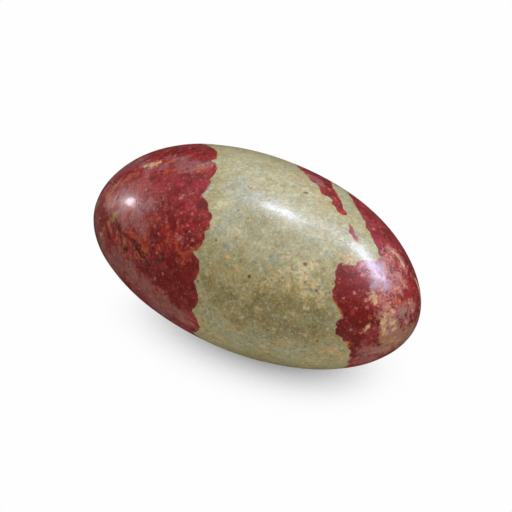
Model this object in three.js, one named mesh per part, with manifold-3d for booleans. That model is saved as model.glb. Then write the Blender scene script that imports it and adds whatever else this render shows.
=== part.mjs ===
// A shiva lingam stone: one river stone, ground and polished by hand into a smooth, nearly regular
// ellipsoid, that lies on a small worn flat under its middle.
//
// Millimetres, +Z up. The long axis runs along X and the stone is a little wider (Y) than it is high (Z).
// The origin is at the middle of the footprint, on the surface that the stone lies on.

import * as THREE from "three";
import { mergeVertices } from "three/addons/utils/BufferGeometryUtils.js";
import Module from "manifold-3d";

// Driving dimensions. The first three are those of the regular ellipsoid that the stone was ground towards.
const LENGTH = 70;
const WIDTH = 37.8;
const HEIGHT = 36.4;
const FLAT_DEPTH = 0.3; // how much of the underside is worn away to make the flat
const SPLITS = 15; // how many points split each edge of the icosahedron that the mesh starts from

// Where the hand grinding left the ellipsoid fuller or flatter than it should be. "towards" points from the
// middle of a unit sphere that is stretched to the stone, "rise" is how far the surface stands out there, or
// lies in where it is negative, and "spread" is how wide the place is, in radians on that sphere.
const SWELLS = [
  { name: "blunt end, front cheek", towards: [-0.92, -0.4, 0.0], rise: 1.0, spread: 0.5 },
  { name: "blunt end, top", towards: [-0.95, -0.15, 0.27], rise: -0.5, spread: 0.5 },
  { name: "front belly, low down", towards: [0.07, -0.62, -0.78], rise: -0.4, spread: 0.6 },
  { name: "slim end, tip", towards: [0.95, 0.29, -0.13], rise: 0.45, spread: 0.5 },
  { name: "slim end, back shoulder", towards: [0.88, 0.46, 0.1], rise: -0.6, spread: 0.5 },
  { name: "back", towards: [0.2, 0.96, -0.18], rise: -0.35, spread: 0.6 },
  { name: "top of the back", towards: [-0.55, 0.3, 0.78], rise: 0.25, spread: 0.5 },
].map((swell) => ({ ...swell, towards: new THREE.Vector3(...swell.towards).normalize() }));

const semiAxes = new THREE.Vector3(LENGTH, WIDTH, HEIGHT).divideScalar(2);

// How far the surface stands out from the ellipsoid in one direction of the unit sphere.
function riseAt(direction) {
  return SWELLS.reduce(
    (sum, { towards, rise, spread }) => sum + rise * Math.exp(-((direction.angleTo(towards) / spread) ** 2)),
    0,
  );
}

// The point of the ground surface that lies in one direction of the unit sphere.
function surfacePoint(direction) {
  const outward = direction.clone().divide(semiAxes).normalize();
  return direction.clone().multiply(semiAxes).addScaledVector(outward, riseAt(direction));
}

// A closed geometry with shared vertices, from one whose faces each have their own.
function welded(geometry) {
  geometry.deleteAttribute("normal");
  geometry.deleteAttribute("uv");
  return mergeVertices(geometry);
}

// The whole ground form before the flat is worn, set so that the plane of the flat is at z = 0.
function groundForm() {
  const geometry = welded(new THREE.IcosahedronGeometry(1, SPLITS));
  const position = geometry.getAttribute("position");
  for (let i = 0; i < position.count; i++) {
    const direction = new THREE.Vector3().fromBufferAttribute(position, i).normalize();
    position.setXYZ(i, ...surfacePoint(direction));
  }
  geometry.computeBoundingBox();
  const { min, max } = geometry.boundingBox;
  return geometry.translate(-(min.x + max.x) / 2, -(min.y + max.y) / 2, -min.z - FLAT_DEPTH);
}

// What the surface under the stone would take off: everything below z = 0.
function wornAway() {
  return welded(new THREE.BoxGeometry(LENGTH, WIDTH, HEIGHT).translate(0, 0, -HEIGHT / 2));
}

const wasm = await Module();
wasm.setup();

function solidOf(geometry) {
  return new wasm.Manifold(
    new wasm.Mesh({
      numProp: 3,
      vertProperties: geometry.getAttribute("position").array,
      triVerts: new Uint32Array(geometry.index.array),
    }),
  );
}

function geometryOf(solid) {
  const { vertProperties, triVerts } = solid.getMesh();
  const geometry = new THREE.BufferGeometry();
  geometry.setAttribute("position", new THREE.BufferAttribute(vertProperties, 3));
  geometry.setIndex(new THREE.BufferAttribute(triVerts, 1));
  geometry.computeVertexNormals();
  return geometry;
}

function makeStone() {
  const polished = new THREE.MeshStandardMaterial({ color: 0xa39a78, roughness: 0.28, metalness: 0 });
  const stone = new THREE.Mesh(geometryOf(solidOf(groundForm()).subtract(solidOf(wornAway()))), polished);
  stone.name = "stone";
  return stone;
}

export default new THREE.Group().add(makeStone());
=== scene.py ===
"""A shiva lingam stone on a pale floor, in Blender.

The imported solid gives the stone's size and place. This script puts a finer mesh of the same form in
its place, paints the grain and the red markings with shader nodes, and adds the floor, the lights
and the camera.

Lengths on the stone are in millimetres, and lengths in the scene in metres. A place on the stone is
(x, turn): x is in mm along the long axis from its middle, and turn is in degrees round that axis,
from 0 at the top through 90 at the front (-Y) and 180 underneath to 270, or -90, at the back.
Colours of the stone are the 0 to 255 values that a screen shows.
"""

import bpy
import math
import numpy as np
from itertools import count
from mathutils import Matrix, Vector, noise
from typing import NamedTuple


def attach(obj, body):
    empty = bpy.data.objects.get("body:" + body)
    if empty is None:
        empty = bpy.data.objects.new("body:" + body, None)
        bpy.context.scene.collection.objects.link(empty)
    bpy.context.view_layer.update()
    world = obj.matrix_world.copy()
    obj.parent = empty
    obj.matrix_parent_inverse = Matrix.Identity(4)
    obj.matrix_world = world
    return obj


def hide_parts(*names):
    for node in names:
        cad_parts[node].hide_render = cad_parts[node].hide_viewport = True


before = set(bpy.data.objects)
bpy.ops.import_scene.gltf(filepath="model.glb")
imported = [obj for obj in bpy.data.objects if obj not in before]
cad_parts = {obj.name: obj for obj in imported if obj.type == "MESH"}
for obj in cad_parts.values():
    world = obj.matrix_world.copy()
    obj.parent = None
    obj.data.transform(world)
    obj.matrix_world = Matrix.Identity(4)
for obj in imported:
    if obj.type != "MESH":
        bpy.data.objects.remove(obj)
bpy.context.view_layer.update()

MM = 0.001

# ------------------------------------------------------------------------------------ the form

# As the solid has it: the regular ellipsoid that the stone was ground towards, and where it is
# fuller or flatter. Each swell is (direction on the unit sphere, rise in mm, spread in radians).
SEMI_AXES = np.array([70.0, 37.8, 36.4]) / 2
FLAT_DEPTH = 0.3
SWELLS = {
    "blunt end, front cheek": ((-0.92, -0.4, 0.0), 1.0, 0.5),
    "blunt end, top": ((-0.95, -0.15, 0.27), -0.5, 0.5),
    "front belly, low down": ((0.07, -0.62, -0.78), -0.4, 0.6),
    "slim end, tip": ((0.95, 0.29, -0.13), 0.45, 0.5),
    "slim end, back shoulder": ((0.88, 0.46, 0.1), -0.6, 0.5),
    "back": ((0.2, 0.96, -0.18), -0.35, 0.6),
    "top of the back": ((-0.55, 0.3, 0.78), 0.25, 0.5),
}

# Mesh cells along X, Y and Z. They come out about 0.3 mm wide.
CELLS = (170, 100, 100)

# Waves that hand grinding leaves, as (length, height), and the pits that the polish didn't reach.
WAVES = ((11.0, 0.10), (5.0, 0.04))
PITS = 150
PIT_RADII = (0.22, 0.6)
PIT_DEPTH = 0.14  # of the pit's radius
PIT_SEED = 7

# ------------------------------------------------------------------------------ the markings

# The edge of the red cap over the blunt end, once round the stone, as (x, turn, bulge). Bulge is
# how far the lobe that follows swells out into the green, in mm.
CAP_EDGE = (
    (-17.0, -20, 0.2), (-10.7, -7, 0.1), (-8.7, 1, 0.0), (-9.4, 4, 1.2), (-5.9, 19, 0.8),
    (-5.3, 30, 0.4), (-1.9, 37, 0.6), (-0.4, 43, 0.4), (-0.4, 49, 0.8), (-1.3, 62, 1.5),
    (0.2, 78, 1.5), (-0.2, 98, 0.5), (0.8, 111, 0.3), (-2.6, 124, 1.0), (-3.4, 140, 0.8),
    (-5.0, 152, 1.3), (-8.4, 176, 0.7), (-9.0, 188, 1.2), (-13.0, 212, 0.9), (-14.0, 228, 0.6),
    (-16.2, 244, 1.4), (-19.5, 268, 0.8), (-20.0, 284, 1.2), (-22.0, 306, 0.9), (-20.6, 322, 0.6),
)

# The edge of the red of the slim end, in the same way.
END_EDGE = (
    (13.0, -38, 0.3), (17.1, -25, 0.2), (21.5, -16, 0.3), (24.9, -8, 0.2), (27.0, -4, 0.1),
    (28.3, 2, 0.1), (28.2, 9, 0.1), (27.2, 15, 0.1), (26.3, 20, 0.1), (26.4, 24, 0.1),
    (26.2, 27, 0.1), (25.2, 29, 0.1), (24.2, 29.7, 0.1), (24.3, 35, 0.1), (24.7, 42, 0.1),
    (25.1, 48, 0.1), (25.3, 55, 0.1), (26.1, 60, 0.1), (26.8, 63, 0.1), (27.9, 70, 0.0),
    (28.0, 73, 0.0), (27.3, 75.5, 0.1), (27.1, 79, 0.1), (27.4, 82.5, 0.0), (27.0, 86, 0.1),
    (27.3, 91, 0.0), (28.2, 94, 0.1), (28.2, 98, 0.0), (29.0, 99.5, 0.1), (28.8, 105, 0.1),
    (29.0, 112, 0.2), (28.6, 124, 0.2), (27.2, 140, 0.6), (24.6, 158, 0.9), (24.4, 178, 0.9),
    (20.0, 198, 1.0), (18.2, 216, 1.2), (14.0, 236, 0.7), (13.6, 252, 1.3), (9.8, 274, 0.6),
    (10.0, 290, 1.0), (9.0, 308, 0.5),
)

# Red islands in the green, each a closed outline of (x, turn, bulge).
ISLANDS = {
    "streak over the top": (
        (-0.5, -38, 0.1), (3.0, -27.5, 0.1), (5.7, -22, 0.1), (7.7, -18, 0.1), (8.9, -14.8, 0.0),
        (10.0, -15, 0.0), (11.3, -13.6, 0.1), (12.8, -8.8, 0.1), (14.0, -11.4, 0.0),
        (15.2, -9.4, 0.1), (16.2, -6.5, 0.1), (17.4, -4.6, 0.1), (18.3, -3.9, 0.1), (19.0, -5, 0.2),
        (18.9, -8, 0.1), (18.0, -10, 0.0), (16.8, -12.5, 0.1), (15.4, -16.4, 0.1),
        (13.7, -20.5, 0.1), (12.1, -23.6, 0.1), (10.9, -28, 0.2), (9.6, -34, 0.3), (6.0, -42, 0.4),
        (2.0, -50, 0.3), (-4.0, -55, 0.2),
    ),
    "hair line": (
        (20.7, -1.0, 0.0), (22.1, 5.2, 0.0), (23.9, 8.0, 0.1), (24.4, 6.6, 0.0), (23.1, 2.8, 0.0),
        (21.6, -1.5, 0.1),
    ),
    "blot behind": (
        (-4.0, -112, 0.5), (-1.0, -106, 0.4), (1.5, -112, 0.6), (0.0, -121, 0.6),
    ),
    "fleck beside it": (
        (4.2, -104, 0.3), (5.6, -101, 0.3), (5.4, -106, 0.3),
    ),
    "streak underneath": (
        (6.0, 168, 0.3), (8.5, 160, 0.5), (12.0, 163, 0.3), (14.5, 170, 0.3), (10.0, 172, 0.4),
    ),
}

# The outlines are drawn with points this far apart, and with at least so many to a stretch.
OUTLINE_STEP = 0.2
FEWEST_STEPS = 4

# How the edge of the red wanders from its outline, in mm: in scallops, and in a finer fray.
SCALLOP_SIZE = 1.3
SCALLOP_DEPTH = 0.5
SCALLOP_MIDDLE = 0.45  # of the size: how far from the middle of a scallop the edge stays in place
FRAY_SIZE = 0.5
FRAY_DEPTH = 0.2
EDGE_SOFTNESS = 0.12

# Dark dots, as (x, turn, radius).
DOTS = (
    (10.8, -1.2, 0.3), (11.1, -2.2, 0.3), (7.0, 16.6, 0.25),
    (19.4, 43, 0.4), (11.0, 63, 0.4), (22.9, 57, 0.3),
)


class Tint(NamedTuple):
    """A colour that lies over the rock in places, in ragged patches."""

    colour: tuple
    size: float  # of the patches, in mm
    ragged: float  # how strongly they break up the place
    half: float  # strength of the place at which half of it is covered
    soft: float  # how soft the edges of the patches are, in strength of the place
    most: float  # cover at most
    places: tuple  # (x, turn, reach in mm), from the blunt end to the slim one, then the veins


def vein(reach, *corners):
    """Places close together along the line through the corners, from the first up to the last."""
    steps = 6
    return tuple(
        (x0 + (x1 - x0) * k / steps, turn0 + (turn1 - turn0) * k / steps, reach)
        for (x0, turn0), (x1, turn1) in zip(corners, corners[1:])
        for k in range(steps)
    )


# Tints of the red, in three layers. In each layer, the later ones lie on top.
LOW_RED_TINTS = {
    "rosy": Tint((132, 26, 44), size=1.2, ragged=1.8, half=0.8, soft=0.6, most=0.6, places=(
        (-16, -60, 6.0), (-15, 33, 2.5), (-14, 160, 5.0), (-12, 28, 3.5), (-8, 38, 3.0),
        (-6, 26, 2.5), (-4, 46, 2.0), (18, -32, 3.0), (22, -22, 3.0), (24, -100, 5.0),
        (26, -12, 2.5), (29, -8, 1.8), (31.5, -4, 3.0), (32, 34, 2.6), (32.5, 14, 3.0),
        (33.4, -20, 2.4), (33.6, 60, 2.0),
    )),
    # Greyed pink, partly the rock's own and partly a painted sheen: along the rim of the blunt end
    # and the lower rim of the cap, round the glint, and over the top of the cap.
    "greyed_pink_and_sheen": Tint((130, 83, 80), size=0.9, ragged=2.0, half=0.5, soft=0.6, most=0.88, places=(
        (-31, 64, 2.2), (-29, 14, 2.6), (-29, 80, 2.4), (-27, 58, 2.2), (-26, 8, 2.2),
        (-26, 92, 2.4), (-24, -80, 5.0), (-23, 16, 1.4), (-23, 104, 3.0), (-21, 58, 2.0),
        (-20.5, 22, 1.4), (-20, 93, 3.0), (-19.5, 64, 1.6), (-18.8, 8, 1.0), (-17.5, 17, 1.2),
        (-17, 57, 2.4), (-16.5, 9, 1.2), (-16, 96, 3.5), (-15, 6, 1.0), (-15, 46, 1.6),
        (-14.5, 11, 1.6), (-14.5, 62, 2.0), (-13.5, 17, 1.3), (-12, 11, 1.7), (-12, 101, 3.5),
        (-11, 15, 1.2), (-10, 114, 3.0), (-9.8, 10, 1.4), (-9.3, 10, 1.4), (-9, 6, 1.2),
        (-9, 108, 2.6), (-7, 105, 3.5), (-6.5, 103, 3.0), (-4, 105, 2.2), (-3, 110, 2.6),
        (6.8, -23, 1.1), (8.5, -21, 1.6), (10.5, -18, 1.2), (20, 210, 4.0), (30, 140, 3.0),
        (31, 120, 2.0), (32, -110, 4.0), (32, 132, 2.2),
    )),
    "scarlet": Tint((138, 15, 13), size=0.6, ragged=1.8, half=0.7, soft=0.4, most=0.8, places=(
        (-28.4, 72, 1.1), (-27.8, 66, 1.3), (-26.5, 32, 0.9), (-25, 40, 1.0), (-24.5, 48, 0.8),
        (-23, 24, 1.1), (-22.5, 36, 0.8), (-21.2, 30, 0.9), (-17, 3, 0.7), (-15.8, 2.5, 0.8),
        (-14.4, 2, 0.8), (-13, 1, 0.9), (-11.6, 1, 0.9), (-10.2, 1.5, 0.8), (-7, 43, 1.8),
        (-6.8, 77, 0.6), (-5.5, 79, 0.9), (-5, 49, 1.4), (-4.5, 41, 1.4), (15, -13, 1.0),
        (16, -45, 2.0), (17.8, -7, 1.3), (27.5, 56, 0.8), (28.3, -14, 0.8), (28.8, 66, 1.0),
        (30.6, 58, 0.9), (31.2, 64, 0.9), (32.3, -20, 1.0), (32.6, -34, 1.4), (32.6, -26, 1.0),
        (32.6, -22, 1.6), (33.2, -20, 1.3), (33.6, -42, 1.4), (34.0, -10, 1.3),
    )),
}
DEEP_RED_TINTS = {
    "deep": Tint((100, 6, 6), size=1.0, ragged=1.6, half=0.5, soft=0.5, most=0.92, places=(
        (-27, 67, 1.1), (-23.5, 80, 1.0), (-20, 0, 0.9), (-12, -110, 5.0), (-12, 21, 0.6),
        (-11, 33, 1.4), (-10, 46, 0.7), (-8, 41, 1.2), (-7.5, 52, 1.2), (-6.5, 85, 2.8),
        (-6, 47, 1.4), (-5.5, 73, 1.6), (-4, 96, 2.0), (-3, 45, 1.2), (-2.5, 84, 3.2),
        (-1.5, 73, 1.8), (-1.0, 91, 2.0), (11.2, -23, 1.1), (14, -60, 4.0), (25.6, 38, 1.2),
        (26.2, 46, 1.6), (27.5, 52, 1.6), (27.6, 44, 1.4), (28, 62, 2.0), (28.2, 85, 2.4),
        (30.0, 95, 1.8), (30.2, 75, 1.8), (30.5, 66, 1.8),
    )),
}
HIGH_RED_TINTS = {
    "brown": Tint((56, 24, 12), size=0.7, ragged=2.2, half=0.65, soft=0.4, most=0.85, places=(
        (-23, 66, 1.4), (-20.5, 71, 1.2), (-18, -140, 4.0), (-17.5, 79, 1.1), (-15.8, 72, 1.2),
        (-14, 74.5, 1.3), (-12.5, 77, 1.4), (-11.2, 81, 1.0), (-8.5, 76, 1.0), (-7.5, 72, 1.0),
    )),
    "mauve": Tint((148, 98, 93), size=0.65, ragged=2.6, half=0.65, soft=0.6, most=0.8, places=(
        (-5.0, 58, 0.6), (27.1, 21, 0.9), (27.2, 20, 1.2), (29, 1, 1.4), (30, 6, 1.8),
        (30.4, 34, 1.2), (30.5, 24, 1.6), (31.2, 12, 1.8), (31.8, -4, 1.4), (32.0, 128, 1.6),
        (32.6, 59, 1.1), (32.8, 44, 0.9), (33.4, 118, 1.6), (33.6, 140, 1.8), (33.8, 92, 1.4),
        (34.4, 30, 1.6), (34.5, 35, 1.4), (34.6, -10, 1.6), (34.8, -30, 0.8), (34.8, 10, 1.0),
        (34.9, 60, 1.0),
    )),
    "umber": Tint((140, 108, 86), size=0.7, ragged=2.6, half=0.55, soft=0.5, most=0.8, places=(
        (33, 140, 2.0), (33.6, 122, 1.8), (33.7, 100, 1.6), (33.8, 62, 1.4), (33.9, 80, 2.4),
        (34.2, 110, 2.8), (34.5, 36, 0.9), (34.5, 150, 2.8), (34.5, 180, 3.0),
    )),
    "salmon": Tint((168, 105, 91), size=0.5, ragged=3.0, half=0.8, soft=0.7, most=0.8, places=(
        (-31, 30, 1.4), (-30, -60, 3.0), (-30, 44, 1.6), (-28, 50, 1.2), (-27, 40, 1.2),
        (-27, 53, 1.3), (-25.6, 58, 1.3), (-24.5, 56, 1.0), (-23, 75, 0.6), (-21, 73, 0.6),
        (-9.6, 10, 1.0), (27.6, -16, 1.1), (28.4, -18, 1.2), (29.2, -8, 1.6), (29.6, 20, 1.2),
        (29.8, -26, 1.4), (29.8, 4, 1.4), (30.8, -22, 1.8), (31.4, -2, 1.6), (31.4, 30, 1.6),
        (32.0, 40, 1.8), (32.2, 36, 1.4), (32.5, -8, 1.4), (32.6, 18, 2.0), (32.8, 46, 1.4),
        (33, -120, 3.0), (33.0, 9, 1.6), (33.0, 46, 1.6), (33.2, 30, 1.8), (33.6, 50, 1.6),
        *vein(1.0, (28.2, -22), (29.4, -25), (31.2, -25)),
        *vein(0.7, (32.4, -6), (33.2, -10)),
    )),
    # Pale lilac where the long highlight of the right-hand window runs over the red of the slim end:
    # partly the rock's own mauve, partly a painted sheen.
    "lilac_and_sheen": Tint((150, 126, 134), size=0.7, ragged=2.0, half=0.6, soft=0.8, most=0.7, places=(
        (28.4, 15, 1.4), (29.4, 10, 1.4), (29.6, 22, 1.3), (30.2, 29, 1.1), (30.6, 17, 1.5),
        (31.6, 22, 1.0),
    )),
    "pink": Tint((190, 122, 112), size=0.4, ragged=2.2, half=0.8, soft=0.4, most=0.65, places=(
        (-12.5, 33, 0.5), (-10, 60, 0.5), (-9, 36, 0.6), (-9, 88, 0.6), (-7, 44, 0.5),
        (-7, 82, 0.5), (-6, 57, 0.6), (-4.6, 42, 0.5), (-4.5, 49, 0.5), (-3.5, 52, 0.6),
        (-2.8, 60, 0.5), (-2.2, 56, 0.6), (26.4, 25.6, 0.7), (27.2, 26.5, 0.7), (27.2, 55, 0.5),
        (28.1, 28, 0.7), (28.3, 47, 0.6), (29.3, 60, 0.4), (29.4, 84, 0.5), (30.3, 49, 0.6),
        (30.6, 88, 0.5), (32.2, 40, 0.9), (32.8, 46, 1.3),
    )),
    "orange": Tint((172, 82, 46), size=0.42, ragged=2.7, half=0.85, soft=0.9, most=0.78, places=(
        (-30.5, 60, 0.8), (-29, 52, 1.2), (-28, 45, 1.0), (-27, 46, 1.4), (-26, 55, 1.1),
        (-25.5, 37, 1.6), (-24.5, 30, 1.4), (-24, -100, 2.0), (-23, 27, 1.0), (-19.3, 53.5, 1.0),
        (-17.2, 11, 1.3), (-16.4, 75, 0.7), (-16, 21, 1.0), (-14.2, 80, 1.3), (-13, 66, 1.1),
        (-12.8, 55, 0.9), (-12, 72, 1.1), (-11.6, 58, 0.7), (-11.3, 52, 0.9), (-9.6, 14.5, 1.2),
        (-9, 68, 1.0), (-8.6, 54, 0.8), (-7.6, 62, 1.0), (-3, 70, 1.0), (3.4, -29, 0.8),
        (5.2, -24, 0.8), (13.2, -7.4, 0.8), (26, 230, 2.0), (26.3, 64, 0.9), (27, 65.5, 0.8),
        (28.8, 104, 0.8), (28.9, 101, 1.0), (31.5, 68, 0.6), (32.2, 64, 0.8), (34.0, 40, 0.8),
        (34.4, 5, 0.8), (34.6, -30, 0.9),
        *vein(0.7, (33.4, 28), (34.1, 20), (34.5, 0)),
        *vein(0.6, (-5.8, 59), (-4.8, 64.5), (-3.4, 66), (-1.8, 62), (-0.4, 56)),
        *vein(0.8, (-17.5, 68), (-14, 70), (-11.6, 75)),
    )),
    "cream": Tint((203, 163, 119), size=0.6, ragged=2.2, half=0.75, soft=0.7, most=0.86, places=(
        (-30.9, 64, 0.7), (-26.2, 86, 0.8), (-22.4, 18, 0.9), (-20.9, 16.5, 1.5),
        (-19.8, 14.5, 1.2), (-18, -90, 1.0), (12.4, -7.5, 0.7), (30, 200, 1.2), (30.9, 42, 1.2),
        (31.4, 46, 0.9), (34.0, 72, 1.0), (34.2, 90, 0.8),
        *vein(0.9, (33.6, 48), (33.3, 60), (33.1, 72), (33.3, 85), (33.2, 97)),
        *vein(0.5, (31.5, 79), (31.1, 86)),
        *vein(0.6, (28.2, -20), (29.4, -23), (31.0, -25)),
        *vein(0.7, (32.2, -50), (32.8, -62), (33.6, -80)),
    )),
    "ochre": Tint((150, 112, 66), size=0.6, ragged=2.4, half=0.65, soft=0.7, most=0.75, places=(
        (-28, -30, 1.2), (-26.3, 87, 0.7), (-26.0, 96, 0.6), (-25.4, 79, 0.9), (-24, 71, 0.9),
        (-23.0, 66, 1.0), (-22.8, 63.5, 1.0), (-22.6, 60, 0.7), (-18.3, 76, 0.8), (33.2, 108, 1.2),
        (33.8, 125, 1.2),
    )),
}

# Tints of the green, the later ones on top.
GREEN_TINTS = {
    "olive": Tint((108, 97, 48), size=1.1, ragged=1.6, half=0.6, soft=0.9, most=0.65, places=(
        (-10, 230, 6.0), (3.5, 76, 2.2), (5, -95, 7.0), (5.5, 84, 2.2), (8, 79, 2.4), (10, 93, 2.6),
        (12, 150, 10.0), (12.5, 84, 2.8), (14, 74, 2.6), (15, 98, 3.0), (15.5, 86, 3.0),
        (17, 76, 2.6), (18.5, 90, 2.8), (19, 71, 2.2), (21.5, 93, 2.6), (22, 73, 2.0),
        (22.8, 70, 2.0), (24, 70, 1.2), (24, 87, 2.4), (25, 74, 1.6),
    )),
    "chalky": Tint((164, 158, 124), size=1.4, ragged=1.4, half=0.55, soft=0.8, most=0.5, places=(
        (-7, 1, 2.4), (-4, -8, 4.0), (-3, 4, 3.0), (0, 8, 5.0), (0.5, 33, 2.4), (1.7, 40, 4.2),
        (2, 24, 4.0), (5, -4, 4.0), (6, 44, 2.6), (6, 210, 5.0), (8, 10, 5.0), (10.6, 46, 2.6),
        (12, -28, 2.0), (12, -3, 3.0), (14, -100, 4.0), (14, 24, 3.0), (16, 16, 5.0), (20, 22, 3.0),
        (20, 34, 2.2),
    )),
    "pale": Tint((182, 174, 134), size=1.2, ragged=1.6, half=0.6, soft=0.8, most=0.5, places=(
        (0.2, 33, 1.8), (1.7, 40, 3.0), (3.2, 46, 2.0), (4.5, 38, 2.0), (19.5, 50, 1.6),
    )),
    "greyish": Tint((136, 140, 118), size=0.9, ragged=1.6, half=0.65, soft=0.6, most=0.65, places=(
        (-4.8, 28, 1.2), (-0.3, 14, 2.5), (2, 44, 2.4), (3, 20, 3.0), (3.0, 36, 3.0), (5, -60, 5.0),
        (5, 52, 2.0), (5, 101, 3.5), (6.1, 61.5, 1.0), (8, 108, 3.0), (9, 113, 4.0), (13, 104, 4.0),
        (14.1, 48, 1.4), (18, 115, 4.0), (21, 107, 3.0),
    )),
    "speckled": Tint((190, 167, 122), size=0.6, ragged=2.2, half=0.9, soft=0.35, most=0.75, places=(
        (2.0, 200, 7.0), (4.0, -75, 6.0), (14.5, 63, 1.4), (15.5, 42, 1.6), (17, 52, 2.4),
        (18, 61, 2.2), (19, 46, 2.2), (20, 52, 2.2), (20.5, 42, 1.8), (21, 61, 2.0), (22, 53, 2.2),
        (22, 70, 1.6), (23.5, 59, 2.2), (24.4, 66, 1.4),
    )),
    "tan": Tint((180, 138, 96), size=0.5, ragged=2.2, half=0.75, soft=0.5, most=0.65, places=(
        (-6, -60, 1.0), (-2, 140, 1.2), (1.2, 86, 0.5), (2.2, 15, 0.6), (2.6, 13, 0.9),
        (4.6, 92, 0.5), (5.6, 56.5, 0.9), (6, 240, 1.2), (6.2, 59, 0.6), (7, -12, 1.2),
        (8.2, 62, 0.9), (8.5, 99, 0.9), (8.6, -11.4, 0.7), (9.9, 97, 0.8), (11.2, -4.5, 0.6),
        (13.0, -5.6, 0.8), (13.2, -5.0, 0.6), (13.3, 44, 0.6), (14, 64, 0.7), (14.4, -4.2, 1.0),
        (16.2, 57, 0.4), (16.5, 62, 0.5), (17.0, -11.6, 0.5), (17, 36, 0.6), (20, 47.5, 0.6),
        (22.3, 93, 0.6), (24.6, 24, 1.0), (25, 24, 1.2), (25.6, 21, 0.8), (26, 108, 1.6),
        (26.6, 26.5, 0.7), (27.5, 118, 1.6),
    )),
    "ochreous": Tint((128, 100, 44), size=0.6, ragged=2.2, half=0.7, soft=0.5, most=0.6, places=(
        (2.4, 52, 0.6), (3.4, 73, 0.8), (5.4, 82, 0.5), (5.9, 45, 0.7), (7.4, 73.5, 0.6),
        (8, 85, 0.5), (8.6, 27.5, 0.5), (9.8, 40, 0.6), (12.5, 86, 0.5), (14, 88, 0.8),
        (19, 61.5, 0.7), (23, 64.5, 0.5), (24.6, 86, 0.5), (26.6, 75, 0.7),
    )),
    "slate": Tint((96, 102, 90), size=0.4, ragged=1.6, half=0.55, soft=0.4, most=0.6, places=(
        (6.2, 61.5, 0.35), (17.4, 47, 0.35), (18.4, 55, 0.3), (21.1, 37.5, 0.6), (22.4, 41, 0.55),
        (23.3, 49, 0.3),
    )),
}


class Patches(NamedTuple):
    """Soft patches all over the rock, where random clouds rise past a level."""

    size: float  # in mm
    low: float  # level from which they show
    high: float  # level at which they are full
    detail: float = 3.0  # how many finer clouds are in them
    roughness: float = 0.65  # how strong the finer ones are


class Mottle(NamedTuple):
    """A colour in such patches."""

    colour: tuple
    patches: Patches
    most: float  # cover at most


class Grain(NamedTuple):
    """Fine lighter and darker clouds."""

    size: float  # in mm
    amount: float  # how much lighter or darker they make the rock
    detail: float = 2.0
    roughness: float = 0.6


class Fleck(NamedTuple):
    """Separate grains of a colour."""

    colour: tuple
    size: float  # in mm
    share: float  # of the places for a grain, how many are taken
    most: float  # cover at most
    softness: float = 0.5


# The green: sage with broad patches of khaki, and what lies over them.
SAGE = (141, 138, 100)
KHAKI = (149, 140, 95)
KHAKI_PATCHES = Patches(9.0, 0.4, 0.6, detail=1.0, roughness=0.5)
GREEN_MOTTLES = (
    Mottle((134, 139, 116), Patches(2.2, 0.46, 0.68, roughness=0.6), 0.6),
    Mottle((152, 134, 80), Patches(2.0, 0.46, 0.68, roughness=0.6), 0.6),
    Mottle((112, 100, 56), Patches(1.5, 0.5, 0.72, roughness=0.6), 0.5),
    Mottle((168, 162, 130), Patches(1.4, 0.5, 0.72, roughness=0.6), 0.5),
    Mottle((152, 126, 74), Patches(0.8, 0.5, 0.72, roughness=0.6), 0.45),
    Mottle((112, 120, 102), Patches(0.8, 0.5, 0.72, roughness=0.6), 0.45),
)
FINE_GREEN_MOTTLES = (
    Mottle((142, 114, 46), Patches(0.6, 0.48, 0.72), 0.6),
    Mottle((174, 174, 166), Patches(0.45, 0.5, 0.72), 0.55),
)
GREEN_GRAINS = (Grain(1.8, 0.08), Grain(0.7, 0.12), Grain(0.3, 0.09))
CREAM_SPECKS = Fleck((190, 166, 124), 0.8, 0.05, 0.55)
RUST_SPECKS = Fleck((160, 110, 66), 0.6, 0.04, 0.5)
OLIVE_SPECKS = Fleck((78, 68, 38), 0.5, 0.04, 0.5)
MORE_CREAM = 0.2  # share that is added to theirs in the middle of a speckled place
MORE_OLIVE = 0.1

# The red: dark crimson with patches of a lighter one, and what lies over them.
DARK_CRIMSON = (92, 14, 14)
CRIMSON = (122, 22, 23)
CRIMSON_PATCHES = Patches(2.6, 0.36, 0.62, detail=2.0, roughness=0.5)
LUMP_SIZE = 1.3
LUMP_AMOUNT = 0.14
LINED_PATCHES = Patches(2.6, 0.45, 0.6, detail=1.0, roughness=0.5)  # have seams and threads
LINE_COVER = 0.5
SEAM_COLOUR = (150, 60, 54)
SEAM_SIZE = 1.1
SEAM_WIDTH = 0.1
THREAD_COLOUR = (160, 90, 72)
THREAD_SIZE = 0.9
THREAD_WIDTH = 0.02
DARK_MOTTLE = Mottle((62, 12, 12), Patches(1.0, 0.52, 0.72, roughness=0.5), 0.5)
BRIGHT_MOTTLE = Mottle((140, 38, 36), Patches(0.6, 0.56, 0.68, detail=2.0, roughness=0.5), 0.5)
DUSTY_MOTTLE = Mottle((148, 78, 80), Patches(0.5, 0.5, 0.75), 0.5)
SCARLET_MOTTLE = Mottle((138, 18, 14), Patches(0.45, 0.5, 0.7), 0.6)
RED_GRAINS = (Grain(1.3, 0.12, detail=3.0), Grain(0.35, 0.15))
LOST_WHERE_DEEP = 0.85  # how much of the pink and pale flecks the deep red hides
PINK_FLECKS = Fleck((166, 88, 84), 0.9, 0.08, 0.5)
RUST_FLECKS = Fleck((154, 64, 36), 0.6, 0.04, 0.7)
PALE_FLECKS = (
    Fleck((176, 108, 96), 0.5, 0.1, 0.45),
    Fleck((200, 140, 124), 0.6, 0.025, 0.5),
)
DARK_FLECKS = Fleck((44, 12, 12), 0.5, 0.06, 0.5)

# Grains where the red is salmon or mauve. Their share is the one in the middle of such a place.
MIXED_FLECKS = (
    Fleck((150, 96, 96), 1.6, 0.5, 0.55),
    Fleck((112, 36, 42), 1.0, 0.45, 0.65, softness=0.6),
    Fleck((182, 118, 98), 0.9, 0.4, 0.5),
    Fleck((200, 152, 124), 0.6, 0.25, 0.45),
)

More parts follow.
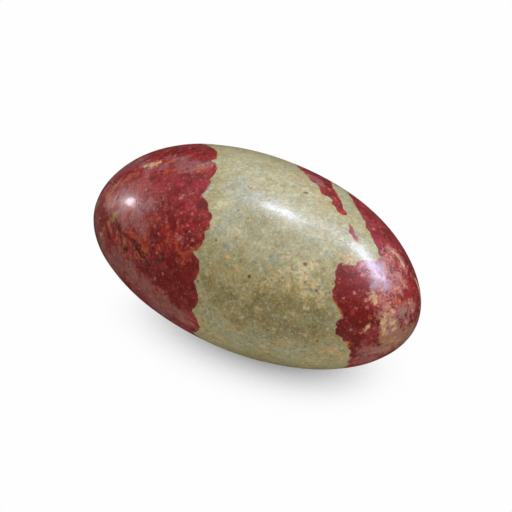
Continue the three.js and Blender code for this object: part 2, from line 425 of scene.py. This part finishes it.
# Rust along the border of the two, where it is orange and in patches of its own.
RUST = (160, 74, 34)
RUST_PATCHES = Patches(4.0, 0.56, 0.66, detail=1.0, roughness=0.5)
RUST_REACH = (0.28, 0.05)  # mm from the border, where the rust ends and where it is full
RUST_COVER = 0.7

DOT_COLOUR = (84, 44, 24)
DOT_EDGE = (-0.1, 0.15)  # mm inside the rim of a dot, where its colour begins and is full
DOT_COVER = 0.85
# The pits are painted darker towards their middles, in this colour.
PIT_DARK = (44, 32, 20)  # in the pits
PIT_DARK_EDGE = (0.1, 0.8)  # nearness to the middle of a pit, where the darkening begins and is full
PIT_DARK_COVER = 0.5

# The polish: its roughness, and how much more that is at the top of the clouds that vary it.
ROUGHNESS = 0.24
ROUGHNESS_SPREAD = 0.2
ROUGHNESS_SIZE = 0.6

# The last of the grain that the fingers can't feel: clouds, and pores in them.
RELIEF_STRENGTH = 0.6
RELIEF_HEIGHT = 0.00001
RELIEF_SIZE = 0.8
PORE_SIZE = 0.5
PORE_SHARE = 0.12
PORE_DEPTH = 0.5  # of the relief

# --------------------------------------------------------------------------------- the stone


def unit(vectors):
    return vectors / np.linalg.norm(vectors, axis=-1)[..., None]


def sphere_grid():
    """Directions and four-cornered faces of a sphere made of six grids that meet edge to edge."""
    points = []
    faces = []
    start = 0
    for axis in range(3):
        across, along = (axis + 1) % 3, (axis + 2) % 3
        lines = [np.tan(np.linspace(-np.pi / 4, np.pi / 4, CELLS[k] + 1)) for k in (across, along)]
        u, v = np.meshgrid(*lines, indexing="ij")
        index = np.arange(u.size).reshape(u.shape)
        corners = [index[:-1, :-1], index[1:, :-1], index[1:, 1:], index[:-1, 1:]]
        corners = np.stack(corners, -1).reshape(-1, 4)
        for side in (1, -1):
            grid = np.empty((u.size, 3))
            grid[:, axis] = side
            grid[:, across] = u.ravel()
            grid[:, along] = v.ravel()
            points.append(grid)
            faces.append(start + corners[:, ::side])
            start += u.size
    every_point = np.round(np.concatenate(points), 9)
    shared, index = np.unique(every_point, axis=0, return_inverse=True)
    return unit(shared), index.reshape(-1)[np.concatenate(faces)]


def outward(directions):
    return unit(directions / SEMI_AXES)


def ground_surface(directions):
    """Points of the ground form, about the middle of the ellipsoid."""
    rise = np.zeros(len(directions))
    for direction, height, spread in SWELLS.values():
        angle = np.arccos(np.clip(directions @ unit(np.array(direction)), -1, 1))
        rise += height * np.exp(-((angle / spread) ** 2))
    return directions * SEMI_AXES + outward(directions) * rise[:, None]


def direction_of(x, turn):
    along = np.clip(np.asarray(x, float) / SEMI_AXES[0], -1, 1)
    ring = np.sqrt(1 - along**2)
    return np.stack([along, -np.sin(np.radians(turn)) * ring, np.cos(np.radians(turn)) * ring], -1)


def place_of(directions):
    """x and turn of directions on the unit sphere."""
    turn = np.degrees(np.arctan2(-directions[:, 1], directions[:, 2]))
    return directions[:, 0] * SEMI_AXES[0], turn


def surface_place(x, turn):
    return ground_surface(np.atleast_2d(direction_of(x, turn)))


def lobed(corners, closed):
    """The line through the corners as close points (x, turn), each stretch an arc.

    Each arc swells to the left by the bulge of the corner that it starts from.
    """
    points = []
    following = [*corners[1:], *corners[: int(closed)]]
    for (x0, turn0, bulge), (x1, turn1, _) in zip(corners, following):
        share_along = (x0 + x1) / 2 / SEMI_AXES[0]
        ring = SEMI_AXES[2] * math.sqrt(max(0.05, 1 - share_along**2))  # not 0, at the very tips
        mm_per_degree = math.radians(ring)
        along, across = x1 - x0, (turn1 - turn0) * mm_per_degree
        length = math.hypot(along, across)
        for t in np.arange(0, 1, min(1 / FEWEST_STEPS, OUTLINE_STEP / length)):
            swell = 4 * t * (1 - t) * bulge / length
            x = x0 + along * t - across * swell
            points.append((x, turn0 + (across * t + along * swell) / mm_per_degree))
    return np.array(points)


def inside(outline, x, turn):
    """Which places lie inside a closed outline."""
    result = np.zeros(len(x), bool)
    for lap in (-360, 0, 360):
        t = turn + lap
        for (x0, t0), (x1, t1) in zip(outline, np.roll(outline, -1, axis=0)):
            if t0 != t1:
                result ^= ((t0 > t) != (t1 > t)) & (x < (x1 - x0) * (t - t0) / (t1 - t0) + x0)
    return result


def distance_to(line, positions):
    """How far each position lies from a line of places."""
    nearest = np.full(len(positions), np.inf)
    for point in surface_place(line[:, 0], line[:, 1]):
        nearest = np.minimum(nearest, ((positions - point) ** 2).sum(1))
    return np.sqrt(nearest)


def red_depth(directions, positions):
    """How deep each position lies in the red, below 0 outside it."""
    x, turn = place_of(directions)
    depth = np.full(len(x), -np.inf)
    far = 2 * SEMI_AXES[0]
    for edge, end in ((CAP_EDGE, -1), (END_EDGE, 1)):
        towards_end = [(end * place_x, place_turn, bulge) for place_x, place_turn, bulge in edge]
        first_x, first_turn, _ = towards_end[0]
        last_turn = first_turn + 360
        line = lobed([*towards_end, (first_x, last_turn, 0)], closed=False)
        outline = np.vstack([line, [(first_x, last_turn), (far, last_turn), (far, first_turn)]])
        sign = np.where(inside(outline, end * x, turn), 1, -1)
        depth = np.maximum(depth, sign * distance_to(line * (end, 1), positions))
    for corners in ISLANDS.values():
        outline = lobed(corners, closed=True)
        sign = np.where(inside(outline, x, turn), 1, -1)
        depth = np.maximum(depth, sign * distance_to(outline, positions))
    return depth


def place_strength(places, positions):
    """1 in the middle of each place, falling to 0 a little past its reach."""
    strength = np.zeros(len(positions))
    for x, turn, reach in places:
        away = np.linalg.norm(positions - surface_place(x, turn), axis=1)
        strength = np.maximum(strength, np.exp(-((away / reach) ** 2)))
    return strength


def dot_depth(positions):
    """How deep each position lies in a dark dot, below 0 outside them all."""
    depth = np.full(len(positions), -np.inf)
    for x, turn, radius in DOTS:
        away = np.linalg.norm(positions - surface_place(x, turn), axis=1)
        depth = np.maximum(depth, radius - away)
    return depth


def wave_height(positions):
    height = np.zeros(len(positions))
    for length, rise in WAVES:
        height += rise * np.array([noise.noise(Vector(p / length)) for p in positions])
    return height


def pit_depth(positions):
    """How deep the pits are at each position, and how near it is to the middle of one, 0 to 1."""
    rng = np.random.default_rng(PIT_SEED)
    depth = np.zeros(len(positions))
    nearness = np.zeros(len(positions))
    smallest, largest = PIT_RADII
    for direction in unit(rng.normal(size=(PITS, 3))):
        radius = smallest + (largest - smallest) * rng.random() ** 3  # cubed: most are small
        away = np.linalg.norm(positions - ground_surface(direction[None, :]), axis=1)
        bowl = np.clip(1 - (away / radius) ** 2, 0, 1)
        depth = np.maximum(depth, PIT_DEPTH * radius * bowl)
        nearness = np.maximum(nearness, bowl)
    return depth, nearness


def smooth_mesh(name, points, faces):
    mesh = bpy.data.meshes.new(name)
    mesh.from_pydata(points.tolist(), [], faces.tolist())
    mesh.polygons.foreach_set("use_smooth", [True] * len(mesh.polygons))
    return mesh


def store(mesh, name, values):
    """Keeps a number for each point of the mesh, for the paint to read."""
    attribute = mesh.attributes.new(name, "FLOAT", "POINT")
    attribute.data.foreach_set("value", values.astype(np.float32))


def make_stone():
    """The fine mesh, with what the paint needs to know stored at its points, and its middle."""
    directions, faces = sphere_grid()
    ground = ground_surface(directions)
    depth, nearness = pit_depth(ground)
    fine = ground + outward(directions) * (wave_height(ground) - depth)[:, None]
    low, high = fine.min(0), fine.max(0)
    middle = -np.array([(low[0] + high[0]) / 2, (low[1] + high[1]) / 2, low[2] + FLAT_DEPTH])
    placed = fine + middle
    placed[:, 2] = np.maximum(placed[:, 2], 0)
    mesh = smooth_mesh("polished_stone", placed * MM, faces)
    store(mesh, "red_depth", red_depth(directions, ground))
    store(mesh, "dot_depth", dot_depth(ground))
    store(mesh, "pit", nearness)
    for name, tint in (LOW_RED_TINTS | DEEP_RED_TINTS | HIGH_RED_TINTS | GREEN_TINTS).items():
        store(mesh, name, place_strength(tint.places, ground))
    stone = bpy.data.objects.new("polished_stone", mesh)
    bpy.context.scene.collection.objects.link(stone)
    return stone, Vector(middle * MM)


# --------------------------------------------------------------------------------- the paint


def tone(red, green, blue):
    """A colour as a shader takes it."""
    screen = np.array([red, green, blue]) / 255
    return (*np.where(screen <= 0.04045, screen / 12.92, ((screen + 0.055) / 1.055) ** 2.4), 1.0)


class Paint:
    """A material under construction. Each method adds nodes and gives back their output."""

    STEP = 7.3  # mm that each texture lies further on than the one before
    CLOUD_LEVELS = (0.3, 0.7)  # where most of the clouds' levels lie
    CLOUD_MIDDLE = 0.5
    TINT_DETAIL = 4.0
    TINT_ROUGHNESS = 0.65
    LUMP_RAGGED = 0.7
    FLECK_RAGGED = 1.2
    FLECK_RADIUS = 0.65  # of its size

    def __init__(self, name):
        self.material = bpy.data.materials.new(name)
        self.material.use_nodes = True
        self.tree = self.material.node_tree
        self.tree.nodes.clear()
        self.turns = count(1)
        where = self.node("ShaderNodeTexCoord").outputs["Object"]
        in_mm = {0: where, "Scale": 1 / MM}
        self.place = self.node("ShaderNodeVectorMath", in_mm, operation="SCALE").outputs[0]

    def node(self, kind, inputs=None, **settings):
        made = self.tree.nodes.new(kind)
        for key, value in settings.items():
            setattr(made, key, value)
        for key, value in (inputs or {}).items():
            if isinstance(value, bpy.types.NodeSocket):
                self.tree.links.new(value, made.inputs[key])
            else:
                made.inputs[key].default_value = value
        return made

    def math(self, operation, *values):
        return self.node("ShaderNodeMath", dict(enumerate(values)), operation=operation).outputs[0]

    def product(self, first, *others):
        for other in others:
            first = self.math("MULTIPLY", first, other)
        return first

    def stored(self, name):
        return self.node("ShaderNodeAttribute", attribute_name=name).outputs["Fac"]

    def fade(self, value, low, high, top=1.0):
        """0 where the value is at low, and top where it is at high. Low may be the larger."""
        inputs = {"Value": value, "From Min": low, "From Max": high, "To Min": 0.0, "To Max": top}
        return self.node("ShaderNodeMapRange", inputs, interpolation_type="SMOOTHSTEP").outputs[0]

    def elsewhere(self, place=None):
        """The place, moved on by a step that differs each time, so no two textures are alike."""
        step = self.STEP * next(self.turns)
        inputs = {0: place or self.place, 1: (step, -2 * step, 3 * step)}
        return self.node("ShaderNodeVectorMath", inputs, operation="ADD").outputs[0]

    def clouds(self, size, detail=0.0, roughness=0.5, output="Fac"):
        """Soft random patches about as large as size, mostly from 0.3 to 0.7."""
        place = self.elsewhere()
        inputs = {"Vector": place, "Scale": 1 / size, "Detail": detail, "Roughness": roughness}
        return self.node("ShaderNodeTexNoise", inputs).outputs[output]

    def shifted(self, amount, size):
        """The place, moved about at random by up to about half of amount."""
        inputs = {0: self.clouds(size, 1.0, output="Color"), 1: (amount,) * 3, 2: self.place}
        return self.node("ShaderNodeVectorMath", inputs, operation="MULTIPLY_ADD").outputs[0]

    def cells(self, size, ragged=0.5, **settings):
        """Cells about as large as size. Ragged is how far their edges wander, as a share of it."""
        inputs = {"Vector": self.elsewhere(self.shifted(size * ragged, size)), "Scale": 1 / size}
        return self.node("ShaderNodeTexVoronoi", inputs, **settings).outputs

    def level_of(self, cells):
        """A random level from 0 to 1 for each cell."""
        return self.node("ShaderNodeSeparateColor", {0: cells["Color"]}).outputs[0]

    def flecks(self, size, share, softness=0.5):
        """Soft-edged grains about as large as size. Share is how many places for one are taken."""
        cells = self.cells(size, self.FLECK_RAGGED)
        taken = self.math("LESS_THAN", self.level_of(cells), share)
        grain = self.fade(cells["Distance"], self.FLECK_RADIUS, self.FLECK_RADIUS - softness)
        return self.product(taken, grain)

    def lumps(self, size):
        """A level for each of the rounded lumps about as large as size that fill the rock."""
        return self.level_of(self.cells(size, self.LUMP_RAGGED))

    def seams(self, size, width):
        """The lines where such lumps meet, with width as a share of the size."""
        cells = self.cells(size, self.LUMP_RAGGED, feature="DISTANCE_TO_EDGE")
        return self.fade(cells["Distance"], width, 0.0)

    def threads(self, size, width):
        """Thin winding lines, about size apart. Width is in levels of the clouds between them."""
        level = self.math("SUBTRACT", self.clouds(size, 2.0), self.CLOUD_MIDDLE)
        return self.fade(self.math("ABSOLUTE", level), width, 0.0)

    def mix(self, share, first, second, blend_type="MIX"):
        inputs = {0: share, 6: first, 7: second}
        settings = {"data_type": "RGBA", "blend_type": blend_type}
        return self.node("ShaderNodeMix", inputs, **settings).outputs[2]

    def over(self, base, colour, *shares):
        """The colour laid over the base, by the product of the shares."""
        return self.mix(self.product(*shares), base, tone(*colour))

    def shaded(self, base, level, amount):
        """The base, lighter where the level is high and darker where it is low, by amount."""
        low, high = 1 - amount, 1 + amount
        share = self.fade(level, *self.CLOUD_LEVELS)
        light = self.mix(share, (low, low, low, 1), (high, high, high, 1))
        return self.mix(1.0, base, light, "MULTIPLY")

    def grained(self, base, grains):
        for size, amount, detail, roughness in grains:
            base = self.shaded(base, self.clouds(size, detail, roughness), amount)
        return base

    def patches(self, plan):
        return self.fade(self.clouds(plan.size, plan.detail, plan.roughness), plan.low, plan.high)

    def mottled(self, base, *mottles):
        for colour, patches, most in mottles:
            base = self.over(base, colour, self.patches(patches), most)
        return base

    def flecked(self, base, fleck, share=None, where=()):
        """The base with the flecks over it, in another share than their own where one is given."""
        grains = self.flecks(fleck.size, fleck.share if share is None else share, fleck.softness)
        return self.over(base, fleck.colour, grains, *where, fleck.most)

    def tinted(self, base, tints):
        """The base with each tint over it, ragged where its places fade out."""
        for name, tint in tints.items():
            clouds = self.clouds(tint.size, self.TINT_DETAIL, self.TINT_ROUGHNESS)
            level = self.math("MULTIPLY_ADD", clouds, tint.ragged, self.stored(name))
            middle = tint.half + tint.ragged / 2
            cover = self.fade(level, middle - tint.soft / 2, middle + tint.soft / 2, tint.most)
            base = self.over(base, tint.colour, cover)
        return base


def green_rock(paint):
    """Sage to khaki in soft mottles, with a fine grain and small specks."""
    base = paint.mix(paint.patches(KHAKI_PATCHES), tone(*SAGE), tone(*KHAKI))
    base = paint.mottled(base, *GREEN_MOTTLES)
    base = paint.tinted(base, GREEN_TINTS)
    base = paint.mottled(base, *FINE_GREEN_MOTTLES)
    base = paint.grained(base, GREEN_GRAINS)
    speckled = paint.stored("speckled")
    cream_share = paint.math("MULTIPLY_ADD", speckled, MORE_CREAM, CREAM_SPECKS.share)
    olive_share = paint.math("MULTIPLY_ADD", speckled, MORE_OLIVE, OLIVE_SPECKS.share)
    base = paint.flecked(base, CREAM_SPECKS, cream_share)
    base = paint.flecked(base, RUST_SPECKS)
    return paint.flecked(base, OLIVE_SPECKS, olive_share)


def red_rock(paint):
    """Crimson, lumpy and mottled, with fine threads and grains of pink and cream."""
    base = paint.mix(paint.patches(CRIMSON_PATCHES), tone(*DARK_CRIMSON), tone(*CRIMSON))
    base = paint.tinted(base, LOW_RED_TINTS)
    base = paint.shaded(base, paint.lumps(LUMP_SIZE), LUMP_AMOUNT)
    base = paint.mottled(base, DARK_MOTTLE)
    lined = paint.patches(LINED_PATCHES)
    base = paint.over(base, SEAM_COLOUR, paint.seams(SEAM_SIZE, SEAM_WIDTH), lined, LINE_COVER)
    base = paint.mottled(base, BRIGHT_MOTTLE, DUSTY_MOTTLE)
    base = paint.tinted(base, DEEP_RED_TINTS)
    base = paint.grained(base, RED_GRAINS)
    calm = paint.math("MULTIPLY_ADD", paint.stored("deep"), -LOST_WHERE_DEEP, 1.0)
    base = paint.flecked(base, PINK_FLECKS, where=[calm])
    base = paint.mottled(base, SCARLET_MOTTLE)
    base = paint.tinted(base, HIGH_RED_TINTS)
    base = paint.flecked(base, RUST_FLECKS)
    threads = paint.threads(THREAD_SIZE, THREAD_WIDTH)
    base = paint.over(base, THREAD_COLOUR, threads, lined, LINE_COVER)
    mixed = paint.math("MAXIMUM", paint.stored("salmon"), paint.stored("mauve"))
    for fleck in MIXED_FLECKS:
        base = paint.flecked(base, fleck, paint.product(mixed, fleck.share))
    for fleck in PALE_FLECKS:
        base = paint.flecked(base, fleck, where=[calm])
    return paint.flecked(base, DARK_FLECKS)


def wandering_edge(paint):
    """How deep a place lies in the red, with the scallops and the fray of its edge."""
    scallop = paint.math("SUBTRACT", paint.cells(SCALLOP_SIZE)["Distance"], SCALLOP_MIDDLE)
    depth = paint.math("MULTIPLY_ADD", scallop, -SCALLOP_DEPTH, paint.stored("red_depth"))
    fray = paint.math("SUBTRACT", paint.clouds(FRAY_SIZE, 1.0), paint.CLOUD_MIDDLE)
    return paint.math("MULTIPLY_ADD", fray, FRAY_DEPTH, depth)


def marked_rock(paint):
    """The green and the red, with rust along their border, the dots, and the pits painted darker."""
    depth = wandering_edge(paint)
    red = paint.fade(depth, -EDGE_SOFTNESS, EDGE_SOFTNESS)
    colour = paint.mix(red, green_rock(paint), red_rock(paint))
    border = paint.fade(paint.math("ABSOLUTE", depth), *RUST_REACH)
    rusty = paint.math("MAXIMUM", paint.stored("orange"), paint.patches(RUST_PATCHES))
    colour = paint.over(colour, RUST, border, rusty, RUST_COVER)
    dots = paint.fade(paint.stored("dot_depth"), *DOT_EDGE)
    colour = paint.over(colour, DOT_COLOUR, dots, DOT_COVER)
    # The pits are painted darker towards their middles.
    darker_in_pits = paint.fade(paint.stored("pit"), *PIT_DARK_EDGE)
    return paint.over(colour, PIT_DARK, darker_in_pits, PIT_DARK_COVER)


def make_stone_paint():
    paint = Paint("polished_jasper")
    colour = marked_rock(paint)
    pores = paint.flecks(PORE_SIZE, PORE_SHARE)
    height = paint.math("MULTIPLY_ADD", pores, -PORE_DEPTH, paint.clouds(RELIEF_SIZE, 3.0))
    relief = {"Strength": RELIEF_STRENGTH, "Distance": RELIEF_HEIGHT, "Height": height}
    varied = paint.clouds(ROUGHNESS_SIZE, 2.0)
    finish = {
        "Base Color": colour,
        "Roughness": paint.math("MULTIPLY_ADD", varied, ROUGHNESS_SPREAD, ROUGHNESS),
        "IOR": 1.5,
        "Coat Weight": 0.3,
        "Coat Roughness": 0.15,
        "Coat IOR": 1.5,
        "Normal": paint.node("ShaderNodeBump", relief).outputs[0],
    }
    shader = paint.node("ShaderNodeBsdfPrincipled", finish)
    paint.node("ShaderNodeOutputMaterial", {"Surface": shader.outputs[0]})
    return paint.material


# --------------------------------------------------------------------------------- the stage

# The camera's place round the stone: degrees from -Y towards +X, and above the floor.
CAMERA_AZIMUTH = 38
CAMERA_ELEVATION = 32
CAMERA_DISTANCE = 0.5315
LENS = 202.5
SENSOR_WIDTH = 36

FLOOR_RADIUS = 0.9
FLOOR_CORNERS = 128
FLOOR_DROP = 0.00002  # below the stone's flat, so that the two don't fight

# The floor is a sheet of white that glows evenly, so the lamps throw no shadow on it. It only
# darkens close to the stone, by how much of the space over it the stone takes up within a reach.
SHADE_REACH = 0.035
SHADE_ENDS = 0.6  # open share of that space from which the floor is at its brightest
SHADE_SAMPLES = 16
FLOOR_GLOW = 0.99
FLOOR_LIGHT = (1.46, 1.37, 1.2, 1.0)  # the same sheet as it lights the stone: brighter, and warm

# The sky over the set: white, brightest round one direction (degrees round from the camera, and
# above the floor), and dimmer away from it. The camera sees plain white behind the floor.
SKY_BRIGHTEST = (83, 75)
SKY_TOP = 0.46
SKY_LOW = 0.04
SKY_EDGE = 0.08  # cosine of the angle from there at which it is down to its low

DAYLIGHT = (0.67, 0.745, 1.0)
ROOM_LIGHT = (1.0, 0.95, 0.87)
WARM_LIGHT = (1.0, 0.86, 0.78)


class Lamp(NamedTuple):
    """An area lamp that faces the stone."""

    azimuth: float  # degrees round from the camera
    elevation: float  # degrees above the floor
    size: tuple  # width and height
    roll: float  # degrees about the line to the stone
    watts: float
    colour: tuple
    in_gloss: bool = True  # the stone mirrors it


LAMP_DISTANCE = 1.0
LAMPS = {
    "window_above": Lamp(-164, 73, (0.23, 0.11), 133, 3.0, DAYLIGHT),
    "window_right": Lamp(93, 53, (0.63, 0.21), 38, 9.8, DAYLIGHT),
    "panel_behind": Lamp(164, 72, (0.66, 0.20), 0, 1.45, DAYLIGHT),
    "panel_right": Lamp(67, 40, (0.50, 0.26), 128, 1.3, DAYLIGHT),
    "panel_left": Lamp(-125, 12, (0.60, 0.40), 118, 0.75, WARM_LIGHT),
    "panel_front": Lamp(-38, 70, (1.20, 0.95), 0, 6.9, ROOM_LIGHT, in_gloss=False),
}

# A narrow spot lamp close to the blunt end draws the glint on it and leaves the rest alone.
GLINT_PLACE = (-20.6, 47)  # x and turn of what it aims at
GLINT_AZIMUTH = -119.5  # degrees round from the camera
GLINT_ELEVATION = 12.7
GLINT_DISTANCE = 0.07
GLINT_RADIUS = 0.0048
GLINT_CONE = 9.5  # degrees
GLINT_BLEND = 0.3  # soft share of the cone
GLINT_WATTS = 0.032
GLINT_COLOUR = (1.0, 0.92, 1.0)


def towards(azimuth, elevation):
    """The direction from the stone to something round it and above the floor."""
    a, e = math.radians(azimuth), math.radians(elevation)
    return Vector((math.sin(a) * math.cos(e), -math.cos(a) * math.cos(e), math.sin(e)))


def aim(thing, target, direction, distance):
    """Puts something in that direction from the target, and turns it to face the target."""
    thing.location = target + direction * distance
    thing.rotation_euler = direction.to_track_quat("Z", "Y").to_euler()


def make_camera(middle):
    camera = bpy.data.objects.new("camera", bpy.data.cameras.new("camera"))
    camera.data.lens = LENS
    camera.data.sensor_width = SENSOR_WIDTH
    aim(camera, middle, towards(CAMERA_AZIMUTH, CAMERA_ELEVATION), CAMERA_DISTANCE)
    bpy.context.scene.collection.objects.link(camera)
    bpy.context.scene.camera = camera


def make_lamp(name, kind, watts, colour):
    light = bpy.data.lights.new(name, kind)
    light.energy = watts
    light.color = colour
    lamp = bpy.data.objects.new(name, light)
    lamp.visible_camera = False
    bpy.context.scene.collection.objects.link(lamp)
    return lamp


def make_lamps(middle):
    for name, plan in LAMPS.items():
        lamp = make_lamp(name, "AREA", plan.watts, plan.colour)
        lamp.data.shape = "RECTANGLE"
        lamp.data.size, lamp.data.size_y = plan.size
        direction = towards(CAMERA_AZIMUTH + plan.azimuth, plan.elevation)
        aim(lamp, middle, direction, LAMP_DISTANCE)
        lamp.rotation_euler.rotate_axis("Z", math.radians(plan.roll))
        lamp.visible_glossy = plan.in_gloss


def make_glint(middle):
    lamp = make_lamp("glint", "SPOT", GLINT_WATTS, GLINT_COLOUR)
    lamp.data.shadow_soft_size = GLINT_RADIUS
    lamp.data.spot_size = math.radians(GLINT_CONE)
    lamp.data.spot_blend = GLINT_BLEND
    place = middle + Vector(surface_place(*GLINT_PLACE)[0] * MM)
    aim(lamp, place, towards(CAMERA_AZIMUTH + GLINT_AZIMUTH, GLINT_ELEVATION), GLINT_DISTANCE)


class Sky(Paint):
    """The world's nodes."""

    def __init__(self):
        self.world = bpy.data.worlds.new("studio")
        self.world.use_nodes = True
        self.tree = self.world.node_tree
        self.tree.nodes.clear()


def make_sky():
    sky = Sky()
    brightest = towards(CAMERA_AZIMUTH + SKY_BRIGHTEST[0], SKY_BRIGHTEST[1])
    both = {0: sky.node("ShaderNodeTexCoord").outputs["Generated"], 1: brightest}
    near = sky.node("ShaderNodeVectorMath", both, operation="DOT_PRODUCT").outputs["Value"]
    lit = sky.math("ADD", sky.fade(near, SKY_EDGE, 1.0, SKY_TOP - SKY_LOW), SKY_LOW)
    seen = sky.node("ShaderNodeLightPath").outputs["Is Camera Ray"]
    strength = sky.node("ShaderNodeMix", {0: seen, 2: lit, 3: 1.0}).outputs[0]
    white = {"Color": (1, 1, 1, 1), "Strength": strength}
    background = sky.node("ShaderNodeBackground", white)
    sky.node("ShaderNodeOutputWorld", {"Surface": background.outputs[0]})
    bpy.context.scene.world = sky.world


def make_floor_paint():
    paint = Paint("floor")
    reach = {"Distance": SHADE_REACH}
    space = paint.node("ShaderNodeAmbientOcclusion", reach, samples=SHADE_SAMPLES)
    shut = paint.math("MULTIPLY_ADD", space.outputs["AO"], -1 / SHADE_ENDS, 1.0)
    shut = paint.math("MAXIMUM", shut, 0.0)
    lit = paint.math("SUBTRACT", 1.0, paint.product(shut, shut))
    seen = paint.node("ShaderNodeLightPath").outputs["Is Camera Ray"]
    colour = paint.mix(seen, FLOOR_LIGHT, (FLOOR_GLOW, FLOOR_GLOW, FLOOR_GLOW, 1.0))
    glow = paint.node("ShaderNodeEmission", {"Color": colour, "Strength": lit})
    paint.node("ShaderNodeOutputMaterial", {"Surface": glow.outputs[0]})
    return paint.material


def make_floor():
    mesh = bpy.data.meshes.new("floor")
    ring = [2 * math.pi * k / FLOOR_CORNERS for k in range(FLOOR_CORNERS)]
    points = [(FLOOR_RADIUS * math.cos(a), FLOOR_RADIUS * math.sin(a), -FLOOR_DROP) for a in ring]
    mesh.from_pydata(points, [], [range(FLOOR_CORNERS)])
    mesh.materials.append(make_floor_paint())
    floor = bpy.data.objects.new("floor", mesh)
    floor.visible_glossy = False
    bpy.context.scene.collection.objects.link(floor)


stone, middle = make_stone()
stone.data.materials.append(make_stone_paint())
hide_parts("stone")
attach(stone, "root")

make_camera(middle)
make_lamps(middle)
make_glint(middle)
make_sky()
make_floor()
bpy.context.scene.view_settings.view_transform = "Standard"
